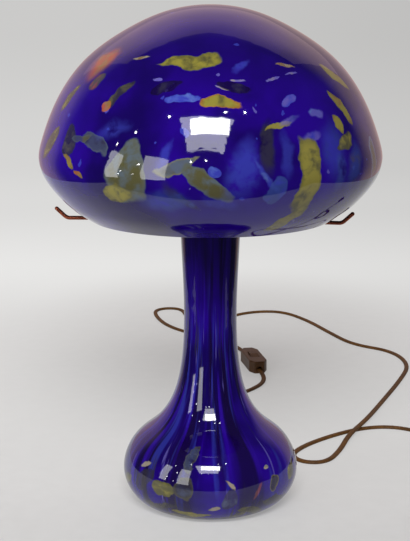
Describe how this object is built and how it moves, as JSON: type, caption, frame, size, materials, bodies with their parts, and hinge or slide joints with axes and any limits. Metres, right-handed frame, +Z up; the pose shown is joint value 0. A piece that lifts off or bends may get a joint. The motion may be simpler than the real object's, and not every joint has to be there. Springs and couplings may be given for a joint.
{
  "type": "mushroom table lamp",
  "caption": "Mushroom table lamp: a domed blown glass shade cradled by wire hooks on a hollow blown glass foot, with a flat flex, rocker switch and plug.",
  "frame": {"origin": "centre of the foot on the table", "axes": "+Z up along the lamp, -Y towards the viewer, the cord leaves at +Y"},
  "size_m": [0.552, 0.8901, 0.4476],
  "materials": {
    "cobalt_glass": "deep cobalt blue blown glass with coloured chips, glossy",
    "opal_glass": "white opal glass",
    "clear_glass": "clear glass",
    "copper_wire": "dull reddish copper wire",
    "brass": "satin brass",
    "steel": "zinc-plated steel",
    "black_rubber": "matt rubber",
    "brown_plastic": "brown moulded plastic, semi-gloss",
    "porcelain": "glazed porcelain",
    "brown_flex": "brown PVC flat flex",
    "black_glass": "black cap glass",
    "solder": "solder",
    "tungsten": "tungsten and nickel wire"
  },
  "bodies": {
    "stand": {"foot_glass": "cobalt_glass", "cord_grommet": "brown_plastic", "threaded_tube": "brass", "neck_bung": "black_rubber", "lower_bung_washer": "steel", "upper_bung_washer": "steel", "lower_bung_nut": "brass", "upper_bung_nut": "brass", "neck_gasket": "black_rubber", "neck_cap": "brass", "hub_nut": "brass", "shade_arm_right": "copper_wire", "shade_arm_left": "copper_wire", "shade_arm_back": "copper_wire", "arm_hub": "brass", "lampholder_cap": "brass", "lampholder_shell": "brass", "terminal_screws": "brass", "porcelain_insert": "porcelain", "screw_shell": "brass", "centre_contact": "brass", "inner_flex": "brown_flex", "flex_leads": "brown_flex", "switch_base": "brown_plastic", "switch_cover": "brown_plastic", "rocker_pin": "steel", "switch_terminals": "brass", "switch_screws": "steel", "cord_foot_to_switch": "brown_flex", "cord_switch_to_coil": "brown_flex", "cord_coil": "brown_flex", "cord_to_plug": "brown_flex", "coil_tie": "brown_plastic", "plug_body": "brown_plastic", "plug_pins": "steel", "plug_sleeves": "brown_plastic", "plug_boot": "brown_plastic"},
    "shade": {"shade_glass": "cobalt_glass"},
    "bulb_slider": {"bulb_contact": "solder"},
    "bulb": {"bulb_glass": "opal_glass", "bulb_cap": "brass", "bulb_insulator": "black_glass", "bulb_stem": "clear_glass", "filament": "tungsten"},
    "rocker": {"switch_rocker": "brown_plastic", "rocker_bridge": "brass"}
  },
  "joints": [
    {"name": "shade_lift", "type": "slide", "parent": "stand", "child": "shade", "axis": [0, 0, 1], "range_m": [0, 0.2]},
    {"name": "bulb_rise", "type": "slide", "parent": "stand", "child": "bulb_slider", "axis": [0, 0, 1], "range_m": [0, 0.0182]},
    {"name": "bulb_turn", "type": "hinge", "parent": "bulb_slider", "child": "bulb", "pos_m": [0, 0, 0.302], "axis": [0, 0, 1], "range_deg": [0, 1800]},
    {"name": "rocker_tilt", "type": "hinge", "parent": "stand", "child": "rocker", "pos_m": [0.05351, 0.43838, 0.0115], "axis": [-0.9816, -0.1908, 0], "range_deg": [0, 18]}
  ],
  "couplings": [
    {"joint": "bulb_rise", "follows": "bulb_turn", "m_per_rad": 0.00057614}
  ]
}
